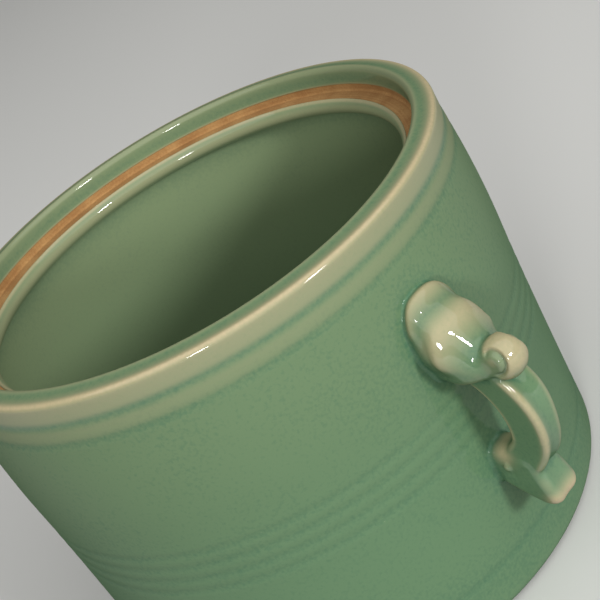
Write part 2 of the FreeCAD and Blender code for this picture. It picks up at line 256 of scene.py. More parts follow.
def lathe(profile: Array, columns: int, is_ring: bool) -> tuple[Array, list[Array]]:
    """Turns a profile about the upright axis.

    A point (radius, height) of the profile at a turn goes to (radius cos turn, radius sin turn,
    height). A ring's profile is a closed loop. Any other starts and ends on the axis, where each
    end becomes one point with a fan of triangles.

    Args:
        profile: Radii and heights as (m, 2), with the solid on the left along it.
        columns: How many even steps make one turn.
        is_ring: True for a closed loop.

    Returns:
        The points, as (n, 3), and the faces, as arrays of corner numbers.
    """
    body = profile if is_ring else profile[1:-1]
    rows, turns = len(body), np.linspace(0.0, 2 * math.pi, columns, endpoint=False)
    radius, height = body[:, 0, None], body[:, 1, None]
    grid = np.stack([radius * np.cos(turns), radius * np.sin(turns), height + 0 * turns], axis=-1)
    number = np.arange(rows * columns).reshape(rows, columns)
    right = np.roll(number, -1, axis=1)
    sides = np.stack([number, right], axis=-1)
    above = np.roll(sides, -1, axis=0)[..., ::-1]
    quads = np.concatenate([sides, above], axis=-1)
    quads = (quads if is_ring else quads[:-1]).reshape(-1, 4)
    points = grid.reshape(-1, 3)
    if is_ring:
        return points, [quads]
    first, last = len(points), len(points) + 1
    ends = np.array([[0.0, 0.0, profile[0, 1]], [0.0, 0.0, profile[-1, 1]]])
    under = np.stack([right[0], number[0], np.full(columns, first)], axis=-1)
    over = np.stack([number[-1], right[-1], np.full(columns, last)], axis=-1)
    return np.concatenate([points, ends]), [quads, under, over]


def line(start: tuple, end: tuple, count: int) -> Array:
    """Evenly spaced points from start to just before end, as (count, 2)."""
    share = np.arange(count)[:, None] / count
    return np.array(start) * (1 - share) + np.array(end) * share


def path(*corners: tuple) -> Array:
    """Straight runs through corners, each given as (radius, height, points to the next one)."""
    return np.concatenate([line(a[:2], b[:2], a[2]) for a, b in zip(corners, corners[1:])])


def arc(centre: tuple, radius: float, start: float, end: float, count: int) -> Array:
    """Evenly spaced points of an arc, from one angle in degrees to another, both included."""
    angle = np.radians(np.linspace(start, end, count))
    return np.array(centre) + radius * np.stack([np.cos(angle), np.sin(angle)], axis=1)


def net(field: Field, low: tuple, high: tuple, step: float) -> tuple[Array, Array]:
    """Finds the surface where a field is zero, as a net of quads.

    Each cell of a regular grid that the surface passes through holds one point, the mean of where
    the surface crosses the cell's edges. Each grid edge that the surface crosses makes one face
    of the four cells around it.

    Args:
        field: Gives a distance for each row of an (n, 3) array, negative inside.
        low: The grid's lowest corner.
        high: The grid's highest corner.
        step: The size of a cell.

    Returns:
        The points, as (n, 3), and the quads, which face outwards.
    """
    axes = [np.arange(a, b + step, step) for a, b in zip(low, high)]
    shape = tuple(len(axis) for axis in axes)
    grid = np.stack(np.meshgrid(*axes, indexing="ij"), axis=-1).reshape(-1, 3)
    value = field(grid).reshape(shape)
    inside = value < 0
    corners = [
        inside[i:shape[0] - 1 + i, j:shape[1] - 1 + j, k:shape[2] - 1 + k]
        for i in (0, 1) for j in (0, 1) for k in (0, 1)
    ]
    crossed = np.logical_or.reduce(corners) & ~np.logical_and.reduce(corners)
    cells = np.argwhere(crossed)
    number = np.full(crossed.shape, -1)
    number[crossed] = np.arange(len(cells))

    total, count = np.zeros((len(cells), 3)), np.zeros(len(cells))
    for axis in range(3):
        first, second = [other for other in range(3) if other != axis]
        for to_first, to_second in ((0, 0), (0, 1), (1, 0), (1, 1)):
            start = cells.copy()
            start[:, first] += to_first
            start[:, second] += to_second
            end = start.copy()
            end[:, axis] += 1
            a, b = value[tuple(start.T)], value[tuple(end.T)]
            cut = (a < 0) != (b < 0)
            place = start.astype(float)
            place[:, axis] += np.where(cut, a / np.where(cut, a - b, 1.0), 0.0)
            total[cut] += place[cut]
            count[cut] += 1
    points = np.array(low) + step * total / count[:, None]

    quads = []
    for axis in range(3):
        u, v = np.eye(3, dtype=int)[(axis + 1) % 3], np.eye(3, dtype=int)[(axis + 2) % 3]
        ahead = np.roll(inside, -1, axis=axis)
        edges = np.argwhere(inside != ahead)
        keep = (edges >= u).all(1) & (edges >= v).all(1) & (edges < np.array(shape) - 1).all(1)
        edges = edges[keep]
        around = [number[tuple(place.T)] for place in (edges, edges - u, edges - u - v, edges - v)]
        faces = np.stack(around, axis=1)
        leaves = inside[tuple(edges.T)]
        quads.append(np.where(leaves[:, None], faces, faces[:, ::-1]))
    return points, np.concatenate(quads)


def settle(points: Array, field: Field, rounds: int, most: float) -> Array:
    """Moves points onto the zero of a field: each goes down the slope by its distance over it.

    Args:
        points: The points, as (n, 3).
        field: Gives a distance for each row.
        rounds: How many times to move.
        most: The furthest that a point may move in one round.

    Returns:
        The moved points.
    """
    for _ in range(rounds):
        slope = gradient_of(field, points, 0.02)
        size = np.maximum((slope**2).sum(axis=1), 0.1)
        away = np.clip(field(points) / size, -most, most)
        points = points - away[:, None] * slope
    return points


# -------------------- finishes


def shade(red: int, green: int, blue: int) -> tuple[float, float, float, float]:
    """A colour given as it looks on a screen, from 0 to 255, as the linear one that shaders use."""
    parts = [channel / 255 for channel in (red, green, blue)]
    return (*(p / 12.92 if p <= 0.04045 else ((p + 0.055) / 1.055) ** 2.4 for p in parts), 1.0)


@dataclass(frozen=True)
class Wire:
    """A value in a node tree. Python's operators on it add Math nodes."""

    bench: "Bench"
    socket: bpy.types.NodeSocket

    def __add__(self, other: "Wire | float") -> "Wire":
        """The sum."""
        return self.bench.math("ADD", self, other)

    def __mul__(self, other: "Wire | float") -> "Wire":
        """The product."""
        return self.bench.math("MULTIPLY", self, other)

    def __sub__(self, other: "Wire | float") -> "Wire":
        """The difference."""
        return self.bench.math("SUBTRACT", self, other)

    def __rsub__(self, other: float) -> "Wire":
        """The difference, with a plain number first."""
        return self.bench.math("SUBTRACT", other, self)

    __radd__ = __add__
    __rmul__ = __mul__

    def between(self, low: float, high: float) -> "Wire":
        """The share of the way from low to high, smoothed, and kept from 0 to 1."""
        ends = {"Value": self, "From Min": low, "From Max": high}
        return self.bench.wire("ShaderNodeMapRange", {"interpolation_type": "SMOOTHSTEP"}, ends)


class Bench:
    """A material under construction."""

    def __init__(self, name: str) -> None:
        """Starts an empty material.

        Args:
            name: The material's name.
        """
        self.material = bpy.data.materials.new(name)
        self.material.use_nodes = True
        self.tree = self.material.node_tree
        self.tree.nodes.clear()
        self.place = self.wire("ShaderNodeTexCoord", {}, {}, "Object")

    def node(self, kind: str, settings: dict, inputs: dict) -> bpy.types.Node:
        """Adds a node.

        Args:
            kind: Its type.
            settings: Its own settings, such as an operation, set first.
            inputs: What goes into its sockets, by name or number: a wire or a plain value.

        Returns:
            The node.
        """
        node = self.tree.nodes.new(kind)
        for key, setting in settings.items():
            setattr(node, key, setting)
        for key, given in inputs.items():
            if isinstance(given, Wire):
                self.tree.links.new(given.socket, node.inputs[key])
            else:
                node.inputs[key].default_value = given
        return node

    def wire(self, kind: str, settings: dict, inputs: dict, output: "int | str" = 0) -> Wire:
        """Adds a node and gives one of its outputs."""
        return Wire(self, self.node(kind, settings, inputs).outputs[output])

    def math(self, operation: str, first: "Wire | float", second: "Wire | float") -> Wire:
        """One Math node on two values."""
        return self.wire("ShaderNodeMath", {"operation": operation}, {0: first, 1: second})

    def mix(self, share: Wire, first: "Wire | tuple", second: "Wire | tuple") -> Wire:
        """A colour between two others: the first at share 0 and the second at share 1."""
        return self.wire("ShaderNodeMix", {"data_type": "RGBA"}, {0: share, 6: first, 7: second}, 2)

    def noise(self, size: float, detail: float) -> Wire:
        """Soft noise from 0 to 1 whose blotches are about a size in millimetres across."""
        inputs = {"Vector": self.place, "Scale": 1.0 / (size * MM), "Detail": detail}
        return self.wire("ShaderNodeTexNoise", {}, inputs)

    def part(self, axis: int) -> Wire:
        """One of the place's own numbers, in millimetres: 0 for x, 1 for y and 2 for height."""
        return self.wire("ShaderNodeSeparateXYZ", {}, {0: self.place}, axis) * (1.0 / MM)

    def from_axis(self) -> Wire:
        """Measures how far the place is from the pot's axis, as the length of its level part.

        Returns:
            The distance, in millimetres.
        """
        kind, flat = "ShaderNodeVectorMath", (1.0, 1.0, 0.0)
        level = self.wire(kind, {"operation": "MULTIPLY"}, {0: self.place, 1: flat}, "Vector")
        return self.wire(kind, {"operation": "LENGTH"}, {0: level}, "Value") * (1.0 / MM)

    def turned(self, along: Wire, size: float) -> Wire:
        """Fine lines left by turning, from 0 to 1: noise along one distance only."""
        inputs = {"W": along * (1.0 / size), "Scale": 1.0, "Detail": 2.0}
        return self.wire("ShaderNodeTexNoise", {"noise_dimensions": "1D"}, inputs)

    def specks(self, apart: float, radius: float) -> Wire:
        """Scatters round specks.

        Args:
            apart: How far apart they lie, in millimetres.
            radius: Their radius, in millimetres.

        Returns:
            Their strength: 1 at their middle and 0 outside the radius.
        """
        inputs = {"Vector": self.place, "Scale": 1.0 / (apart * MM)}
        away = self.wire("ShaderNodeTexVoronoi", {"feature": "F1"}, inputs, "Distance")
        return away.between(radius / apart, 0.3 * radius / apart)

    def grazing(self) -> Wire:
        """How edge-on the surface is seen: 0 up to a slant of 57 degrees, and 1 from 84."""
        return self.wire("ShaderNodeLayerWeight", {}, {"Blend": 0.5}, "Facing").between(0.45, 0.9)

    def share(self, skin: Skin) -> Wire:
        """One of the per-vertex shares."""
        return self.wire("ShaderNodeAttribute", {"attribute_name": skin.value}, {}, "Fac")

    def bump(self, height: Wire, depth: float) -> Wire:
        """Turns a height from 0 to 1 into a relief of a depth in millimetres."""
        return self.wire("ShaderNodeBump", {}, {"Height": height, "Distance": depth * MM}, "Normal")

    def finish(self, inputs: dict) -> bpy.types.Material:
        """Ends the material with a Principled shader.

        Args:
            inputs: What goes into the shader's sockets.

        Returns:
            The material.
        """
        surface = self.wire("ShaderNodeBsdfPrincipled", {}, inputs)
        self.node("ShaderNodeOutputMaterial", {}, {"Surface": surface})
        return self.material


@dataclass(frozen=True)
class CeladonGlaze:
    """A thick sea-green glaze: pale where it draws thin over an edge, deeper where it pools."""

    body: tuple = shade(102, 134, 99)
    warm: tuple = shade(111, 136, 100)
    warm_from: float = 30.0         # height in millimetres
    warm_to: float = 75.0
    drawn: tuple = shade(198, 181, 143)
    pooled: tuple = shade(80, 118, 90)
    speck: tuple = shade(160, 172, 140)
    cloud_size: float = 16.0
    grain_size: float = 0.7
    speck_gap: float = 6.5
    speck_radius: float = 0.15
    peel_size: float = 3.2          # the faint waviness of its surface
    peel_depth: float = 0.02
    satin: float = 0.50             # roughness on the plain wall
    glassy: float = 0.16            # and where it is glossy
    coat_roughness: float = 0.03
    coat_lost: float = 0.85         # share of the coat that is left off where it is seen edge-on

    def make(self) -> bpy.types.Material:
        """Makes the material. Blotches, fine grain and a few pale specks vary its colour.

        Returns:
            The material, which reads the per-vertex shares.
        """
        bench = Bench("celadon_glaze")
        thin, pool, gloss = (bench.share(skin) for skin in Skin)
        clouds, grain = bench.noise(self.cloud_size, 2.0), bench.noise(self.grain_size, 4.0)
        uneven = (clouds - 0.5) * 0.3 + (grain - 0.5)
        risen = bench.part(2).between(self.warm_from, self.warm_to)
        specks = bench.specks(self.speck_gap, self.speck_radius)
        peel = bench.noise(self.peel_size, 1.0) * 0.7 + grain * 0.3
        colour = bench.mix(risen + uneven * 0.6, self.body, self.warm)
        colour = bench.mix(pool + uneven * 1.7, colour, self.pooled)
        colour = bench.mix(thin + uneven * thin * 0.5, colour, self.drawn)
        colour = bench.mix(specks * 0.3, colour, self.speck)
        return bench.finish({
            "Base Color": colour,
            "Roughness": gloss * (self.glassy - self.satin) + self.satin,
            "Specular IOR Level": 0.0,
            "Coat Weight": gloss * (1 - bench.grazing() * self.coat_lost),
            "Coat Roughness": self.coat_roughness,
            "IOR": 1.5,
            "Normal": bench.bump(peel, self.peel_depth),
        })


@dataclass(frozen=True)
class BareClay:
    """Unglazed fired stoneware: orange-brown, matt, with fine turning lines and a fine grain."""

    light: tuple = shade(179, 139, 86)
    dark: tuple = shade(153, 110, 62)
    grit: tuple = shade(112, 78, 45)
    roughness: float = 0.85
    patch_size: float = 7.0
    grain_size: float = 0.5
    ring_gap: float = 0.35          # between turning lines
    grit_gap: float = 1.6
    grit_radius: float = 0.22
    relief: float = 0.04

    def make(self) -> bpy.types.Material:
        """Makes the material. Turning lines, grain and grit vary its colour.

        Returns:
            The material.
        """
        bench = Bench("bare_clay")
        patches, grain = bench.noise(self.patch_size, 2.0), bench.noise(self.grain_size, 4.0)
        rings = bench.turned(bench.from_axis() + bench.part(2), self.ring_gap)
        mixed = patches * 0.5 + grain * 0.3 + rings * 0.2
        colour = bench.mix(mixed.between(0.36, 0.66), self.dark, self.light)
        grit = bench.specks(self.grit_gap, self.grit_radius)
        return bench.finish({
            "Base Color": bench.mix(grit * 0.45, colour, self.grit),
            "Roughness": self.roughness,
            "Normal": bench.bump(grain * 0.7 + rings * 0.3, self.relief),
        })


# -------------------- the pot's body


@dataclass(frozen=True)
class Spot:
    """A soft round spot of thin or deep glaze, seen in an upright plane through the axis."""

    x: float                        # out from the pot's axis
    z: float
    width: float
    amount: float = 1.0

    def on(self, x: Array, z: Array) -> Array:
        """Its strength at places of the plane: a bump that fades with distance."""
        return self.amount * bell(np.hypot(x - self.x, z - self.z), self.width)


@dataclass
class PotBody:
    """The turned body: foot, wall with its string lines, lip, lid seat, bead and floor."""

    height: float
    swell: float                    # outside, where the wall is widest
    rim: float                      # outside, at the lip
    seat_radius: float
    seat_height: float
    inside: float                   # inside of the wall
    floor_under: float
    floor_top: float
    wall_lift: float                # height of the wall's lower end
    # how far the outside stands in from the swell, by height
    inset: Course = Course(
        (2.0, 20.0, 36.0, 46.0, 57.0, 66.0, 74.0, 79.0, 84.0),
        (0.70, 0.67, 0.50, 0.28, 0.0, 0.17, 0.66, 1.0, 1.0))
    foot_round: float = 1.9
    floor_cove: float = 8.0
    lip_outer_round: float = 1.0
    lip_inner_round: float = 1.2
    lip_fall: float = 0.55           # how much lower the lip's outer crest is than its inner one
    lip_hollow: float = 0.12
    ledge_edge: float = 46.6
    bead_overhang: float = 0.9
    bead_drop: float = 3.3
    bead_flat: float = 0.8
    glaze_edge: float = 1.6         # how far up the lid seat's wall the glaze stops
    glaze_step: float = 0.22        # how far the glaze stands proud of the bare clay
    rim_lines: tuple[float, ...] = (78.05, 73.95)
    middle_lines: tuple[float, ...] = (45.5, 42.35, 39.2, 36.05)
    base_line: float = 9.9
    rim_depth: float = 0.06
    line_depth: float = 0.08
    rim_dark: float = 0.36
    line_dark: float = 0.26
    line_width: float = 1.4
    # how thin the glaze is down the outer face, by the depth below the top
    face_thin: Course = Course(
        (0.4, 0.8, 1.05, 1.4, 2.0, 3.2, 4.4, 4.85, 5.3, 5.9, 6.4, 7.6, 8.5, 9.1, 9.8),
        (0.88, 0.86, 0.66, 0.50, 0.41, 0.35, 0.24, 0.08, 0.0, 0.07, 0.15, 0.16, 0.11, 0.02, 0.0))
    # and over the lip's top, by the distance in from its outer face
    top_thin: Course = Course(
        (0.0, 0.15, 0.6, 0.95, 1.4, 2.1, 3.2, 3.8, 4.4),
        (1.0, 1.0, 0.95, 0.75, 0.38, 0.12, 0.06, 0.30, 0.26))
    # a paler tone over the inner wall: partly its own, partly painted fill light that lifts its
    # shade
    inside_pale_and_fill_light: float = 0.13
    columns: int = 270

    @property
    def lines(self) -> list[tuple[float, float, float]]:
        """Every string line on the outside.

        Returns:
            The height, depth and darkness of each.
        """
        faint = (*self.middle_lines, self.base_line)
        strong = [(z, self.rim_depth, self.rim_dark) for z in self.rim_lines]
        return strong + [(z, self.line_depth, self.line_dark) for z in faint]

    def plain_radius(self, height: Array) -> Array:
        """The outside of the wall without its lines: it swells a little and draws in to the lip."""
        return self.swell - self.inset(height)

    def line_shape(self, height: Array, line_height: float) -> Array:
        """One line's section, from 0 outside it to 1 at its bottom: the square of 1 - s^2."""
        share = np.clip(np.abs(height - line_height) / self.line_width, 0.0, 1.0)
        return (1 - share**2) ** 2

    def outside(self) -> Array:
        """The wall's outer profile upwards, with closer points at each line and at the lip.

        Returns:
            Radii and heights, from the foot's rounding to the lip's.
        """
        start = self.wall_lift + self.foot_round
        end = self.height - self.lip_fall - self.lip_outer_round
        heights = [np.arange(start, end, 1.5), np.arange(end - 6.0, end, 0.3)]
        for line_height, _, _ in self.lines:
            heights.append(line_height + self.line_width * np.linspace(-1.05, 1.05, 17))
        height = np.unique(np.concatenate(heights).round(4))
        height = height[(height >= start) & (height < end)]
        radius = self.plain_radius(height)
        for line_height, depth, _ in self.lines:
            radius = radius - depth * self.line_shape(height, line_height)
        return np.stack([radius, height], axis=1)

    def lip(self) -> Array:
        """The lip's section: a small outer rounding, a top that rises inwards, an inner rounding.

        The top lies below the straight line between the roundings by the hollow's depth times the
        sine of half a turn along it.

        Returns:
            Radii and heights, from the wall's outside over the top to the lid seat's wall.
        """
        outer, inner = self.lip_outer_round, self.lip_inner_round
        outer_centre = (self.rim - outer, self.height - self.lip_fall - outer)
        inner_centre = (self.seat_radius - self.glaze_step + inner, self.height - inner)
        first, last = arc(outer_centre, outer, 0, 82, 14), arc(inner_centre, inner, 98, 180, 12)
        top = line(first[-1], last[0], 10)[1:]
        top[:, 1] -= self.lip_hollow * np.sin(np.pi * np.arange(1, 10) / 10)
        return np.concatenate([first, top, last])

    def profile(self) -> Array:
        """The whole section: under the floor, up the outside, over the lip and down the inside.

        Returns:
            Radii and heights, from the underside's middle round to the floor's middle.
        """
        under, top, lift, inside = self.floor_under, self.floor_top, self.wall_lift, self.inside
        turn, cove = self.foot_round, self.floor_cove
        foot = float(self.plain_radius(np.array(lift + turn))) - turn
        # where the glaze ends above the clay, and the clay ring's bed under its face
        edge, step, hidden = self.seat_height + self.glaze_edge, 0.3, 0.3
        proud, seat = self.seat_radius - self.glaze_step, self.seat_radius + hidden
        bed = self.seat_height - hidden
        # the bead: an arc whose chord is its drop and whose height is its overhang
        ledge, drop, overhang = self.ledge_edge, self.bead_drop, self.bead_overhang
        bottom, flat_end = self.seat_height - drop, ledge + self.bead_flat
        bead = drop**2 / (8 * overhang) + overhang / 2
        reach = math.degrees(math.asin(drop / 2 / bead))
        bead_centre = (ledge - overhang + bead, self.seat_height - drop / 2)
        neck = inside - flat_end
        return np.concatenate([
            path((0, under, 8), (inside - 6, under, 3), (inside, under, 2), (inside, lift, 4),
                 (foot, lift)),
            arc((foot, lift + turn), turn, -90, 0, 9)[:-1],
            self.outside(),
            self.lip(),
            line((proud, self.height - self.lip_inner_round - step), (proud, edge + step), 6),
            arc((proud + step, edge + step), step, 180, 270, 6),
            path((seat, edge, 3), (seat, bed, 3), (ledge + 0.5, bed)),
            arc((ledge + 0.25, self.seat_height), self.glaze_step, 0, 120, 6),
            arc(bead_centre, bead, 180 - reach + 2, 180 + reach, 18),
            line((ledge, bottom), (flat_end, bottom), 2),
            arc((flat_end, bottom - neck), neck, 90, 0, 8),
            line((inside, bottom - neck - 0.5), (inside, top + cove), 30),
            arc((inside - cove, top + cove), cove, 0, -90, 14),
            line((inside - cove - 1, top), (0, top), 12),
            np.array([[0, top]]),
        ])

    def thins(self, radii: Array, heights: Array) -> Array:
        """Thin glaze at the lip, clay edges, bead and foot's edge; inside, paler, partly painted
        fill light.

        Args:
            radii: Distances from the axis.
            heights: Heights of the same places.

        Returns:
            How thin the glaze is at each place, with the painted fill light inside.
        """
        edge, ledge = self.seat_height + self.glaze_edge, self.ledge_edge
        spots = (
            Spot(self.seat_radius, edge + 0.1, 0.45, 0.55),
            Spot(ledge + 0.1, self.seat_height, 0.6, 0.65),
            Spot(ledge - self.bead_overhang, self.seat_height - 1.7, 1.6, 0.35),
            Spot(self.inside, self.wall_lift, 3.2, 0.35),
        )
        lip = self.face_thin(self.height - heights) * self.top_thin(self.rim - radii)
        # the inner wall made paler: partly painted fill light on its shaded parts
        pale_and_fill_inside = self.inside_pale_and_fill_light * ramp(radii, self.inside + 0.8, self.inside + 0.2)
        return np.maximum.reduce([lip, pale_and_fill_inside, *(spot.on(radii, heights) for spot in spots)])

    def pools(self, radii: Array, heights: Array) -> Array:
        """Where the glaze has gathered: in the lines, behind the lip's crest and in the coves.

        Args:
            radii: Distances from the axis.
            heights: Heights of the same places.

        Returns:
            How deep the glaze is at each place: the sum of its lines and spots.
        """
        spots = (
            Spot(self.rim - 2.4, self.height, 1.2, 0.15),
            Spot(self.seat_radius, self.height - 2.6, 0.8, 0.45),
            Spot(self.inside, self.floor_top, 7.0, 0.5),
            Spot(self.inside, self.seat_height - self.bead_drop - 2, 2.5, 0.5),
        )
        outside = ramp(radii, self.seat_radius, self.rim - 1.5)
        lines = sum(self.line_shape(heights, height) * dark for height, _, dark in self.lines)
        return outside * lines + sum(spot.on(radii, heights) for spot in spots)

    def shell(self, handle: "Handle") -> Shell:
        """Turns the profile and works out the glaze's thickness over it.

        Args:
            handle: The handle, whose roots the glaze pools round.

        Returns:
            The body's surface.
        """
        points, faces = lathe(self.profile(), self.columns, is_ring=False)
        radii, heights = np.hypot(points[:, 0], points[:, 1]), points[:, 2]
        thin, pool = self.thins(radii, heights), self.pools(radii, heights)
        at_lip = ramp(heights, self.seat_height - 0.8, self.seat_height + 0.6)
        at_bead = ramp(radii, self.inside - 0.5, self.inside - 2.0) * ramp(heights, 70.0, 76.0)
        satin = 0.05 + 0.35 * ramp(radii, self.inside + 1.0, self.inside + 3.0)
        gloss = np.maximum.reduce([satin, at_lip, at_bead])
        near = (points[:, 0] > 40) & (radii > self.inside + 3)
        pool[near] = np.maximum(pool[near], handle.halo(points[near]))
        gloss[near] = np.maximum(gloss[near], handle.gloss(points[near]))
        return Shell(points, faces, {Skin.THIN: thin, Skin.POOL: pool, Skin.GLOSS: gloss})


@dataclass
class ClayRing:
    """A turned ring of bare clay, from a closed outline of radii and heights."""

    outline: Array
    columns: int = 240

    def shell(self) -> Shell:
        """Turns the outline about the pot's axis."""
        return Shell(*lathe(self.outline, self.columns, is_ring=True), {})


def seat_outline(pot: PotBody) -> Array:
    """The bare lid seat: the level ledge, a small fillet and a strip of the wall above it.

    Args:
        pot: The body that it is part of.

    Returns:
        Radii and heights round its section.
    """
    inner, outer, level = pot.ledge_edge + 0.1, pot.seat_radius, pot.seat_height
    top, bed, fillet = level + pot.glaze_edge + 0.25, 0.6, 0.35
    back, low = outer + bed, level - bed
    return np.concatenate([
        path((inner, low, 8), (back, low, 4), (back, top, 2), (outer, top, 6),
             (outer, level + fillet)),
        arc((outer - fillet, level + fillet), fillet, 0, -90, 6),
        path((outer - fillet - 0.2, level, 8), (inner, level, 2), (inner, low)),
    ])


def foot_outline(pot: PotBody, low: float, width: float) -> Array:
    """The bare foot: a low ring with rounded edges, let a little into the floor above it.

    Args:
        pot: The body that stands on it.
        low: The height that its face lies at.
        width: Its width.

    Returns:
        Radii and heights round its section.
    """
    outer, inner = pot.inside, pot.inside - width
    edge, side, top = 0.6, low + 1.1, pot.floor_under + 0.2
    return np.concatenate([
        arc((inner + edge, low + edge), edge, 180, 270, 6),
        line((inner + edge + 0.5, low), (outer - edge - 0.3, low), 6),
        arc((outer - edge, low + edge), edge, -90, 0, 6),
        path((outer, side, 3), (outer, top, 4), (inner, top, 3), (inner, side)),
    ])


# -------------------- the handle


@dataclass(frozen=True)
class Places:
    """Places round the handle, as one array for each direction."""

    x: Array                   # out from the pot's axis
    side: Array                # across the handle, towards +Y, which is its far side
    z: Array

    @property
    def across(self) -> Array:
        """How far to either side."""
        return np.abs(self.side)


@dataclass(frozen=True)
class Circle:
    """A circle in the plane of x and z."""

    x: float
    z: float
    radius: float

    def past(self, at: Places) -> Array:
        """Distance outside it, negative inside."""
        return np.hypot(at.x - self.x, at.z - self.z) - self.radius


@dataclass(frozen=True)
class Stripe:
    """A soft stripe over the thumb rest's top, which bows towards the wall at its sides."""

    x: float
    width: float
    bow: float = 0.03

    def on(self, at: Places) -> Array:
        """Its strength: a bump over x, less the bow times the square of the side."""
        return bell(at.x - self.x + self.bow * at.side**2, self.width)


@dataclass(frozen=True)
class Strap:
    """The handle's strap, which lies between the finger hole and an outer circle."""

    hole: Circle = Circle(51.1, 39.6, 12.1)
    back: Circle = Circle(54.95, 40.0, 16.0)
    half: float = 2.75
    flare: float = 0.6
    hollow: float = 0.35
    far: float = 1.1                # how much wider it is on its far side, at its top
    sill: float = 32.0              # the finger hole's flat lower end
    sill_round: float = 4.0

    def half_at(self, at: Places) -> Array:
        """Half of its width: it flares to its lower root and, on the far side, upwards."""
        far = self.far * ramp(at.z, 36.0, 47.0) * (at.side > 0)
        return self.half + self.flare * ramp(at.z, 34.0, 25.0) + far

    def in_hole(self, at: Places) -> Array:
        """Depth inside the finger hole, negative outside it: a circle cut off by a rounded sill."""
        return -rounded(self.sill_round, self.hole.past(at), self.sill - at.z)

    def field(self, at: Places) -> Array:
        """Distance to the strap: outside the hole, inside the back's circle, within its width.

        Args:
            at: The places.

        Returns:
            The distances, negative inside.
        """
        outer = self.back.past(at) + self.hollow * bell(at.side, 1.4)
        softer = 1.2 * ramp(at.z, 37.0, 33.0) * ramp(at.x, 61.5, 59.5) * ramp(at.z, 27.0, 30.0)
        return rounded(1.0 + softer, self.in_hole(at), outer, at.across - self.half_at(at))

    def drawn(self, at: Places) -> Array:
        """Where the glaze has drawn thin: a soft bump that fades away from each of its edges.

        Args:
            at: The places.

        Returns:
            How thin the glaze is at each place.
        """
        beyond = at.across - self.half_at(at)
        outer = bell(np.hypot(self.back.past(at) + 0.2, beyond + 0.3), 0.9)
        outer = outer * np.where(at.side < 0, 0.7, 0.25)
        inner = bell(np.hypot(self.in_hole(at) + 0.25, beyond + 0.25), 0.7) * 0.45
        return ramp(at.z, 51.0, 48.0) * ramp(at.z, 28.5, 35.0) * np.maximum(outer, inner)


@dataclass(frozen=True)
class ThumbRest:
    """The top of the handle: a drooping lobed pad on a narrower block. Its courses run along x."""

    crest: Course = Course(
        (54.0, 55.6, 57.0, 59.3, 60.8, 62.0, 65.8, 69.0),
        (65.4, 66.5, 67.3, 64.5, 63.2, 62.0, 56.6, 57.6))
    droop: Course = Course(
        (54.0, 57.0, 59.5, 63.0, 66.0, 69.0), (0.05, 0.05, 0.055, 0.055, 0.05, 0.05))
    lean: float = 0.11              # how much lower its far side lies, for each millimetre across
    lobes: Course = Course(
        (54.0, 55.6, 57.0, 58.9, 60.9, 62.5, 64.0, 66.0, 68.0),
        (5.2, 5.8, 6.2, 6.6, 7.4, 6.4, 4.8, 3.5, 2.5))
    far_trim: float = 1.2           # how much less its far lobes reach out
    pad_under: Course = Course(
        (54.0, 59.0, 61.0, 62.5, 64.0, 66.0), (54.6, 54.8, 55.0, 54.4, 53.2, 52.0))
    pad_round: Course = Course((54.0, 57.0, 59.5, 61.0, 64.0, 67.0), (3.0, 3.0, 3.2, 3.2, 2.6, 2.0))
    pad_end: float = 67.0
    block: Course = Course((54.0, 58.0, 62.0, 64.0, 66.0, 68.0), (4.8, 5.4, 5.8, 5.2, 4.0, 3.0))
    block_under: Course = Course((54.0, 60.0, 65.0, 69.0), (50.0, 50.0, 51.0, 52.2))
    block_round: float = 2.6
    block_sunk: float = 1.5         # how far its top lies under the pad's
    fillet: float = 4.0
    # where the glaze has drawn thin
    ridge: Stripe = Stripe(57.1, 1.6)
    saddle: Stripe = Stripe(62.2, 1.9, 0.035)
    lobe: Spot = Spot(60.2, 59.6, 2.6)
    # and where it lies deep
    valleys: tuple[Stripe, ...] = (Stripe(59.3, 0.9), Stripe(65.3, 1.1))

    def field(self, at: Places) -> Array:
        """Distance to the thumb rest.

        The height over its top and the distance past its lobes are divided by the root of 1 plus
        the squares of their slopes, which makes them distances.

        Args:
            at: The places.

        Returns:
            The distances, negative inside.
        """
        top = self.crest(at.x) - self.droop(at.x) * at.across**2 - self.lean * at.side
        along, sideways = self.crest.steepness(at.x), 2 * self.droop(at.x) * at.across
        above = (at.z - top) / np.sqrt(1 + along**2 + sideways**2)
        far = self.far_trim * (at.side > 0)
        outward = at.across + far - self.lobes(at.x)
        outward = outward / np.sqrt(1 + self.lobes.steepness(at.x) ** 2)
        beyond = at.x - self.pad_end
        pad = rounded(self.pad_round(at.x), above, self.pad_under(at.x) - at.z, outward, beyond)
        block = rounded(
            self.block_round, at.across - self.block(at.x), self.block_under(at.x) - at.z,
            above + self.block_sunk, beyond)
        return melt(pad, block, self.fillet)

    def drawn(self, at: Places) -> Array:
        """Where the glaze has drawn thin: soft bumps over its ridge, its saddle and its lobes.

        Args:
            at: The places.

        Returns:
            How thin the glaze is at each place.
        """
        drop = at.z - self.crest(at.x) + self.droop(at.x) * at.across**2
        return np.maximum.reduce([
            self.ridge.on(at) * ramp(drop, -4.0, -1.5),
            0.66 * self.saddle.on(at) * ramp(drop, -4.5, -2.5),
            0.6 * self.lobe.on(at.x, at.z) * ramp(at.across, 4.6, 6.4),
        ])

    def deep(self, at: Places) -> Array:
        """Where the glaze lies deep across it, behind its ridge and by the scroll."""
        return np.maximum(*(valley.on(at) for valley in self.valleys)) * ramp(at.z, 54.0, 56.5)


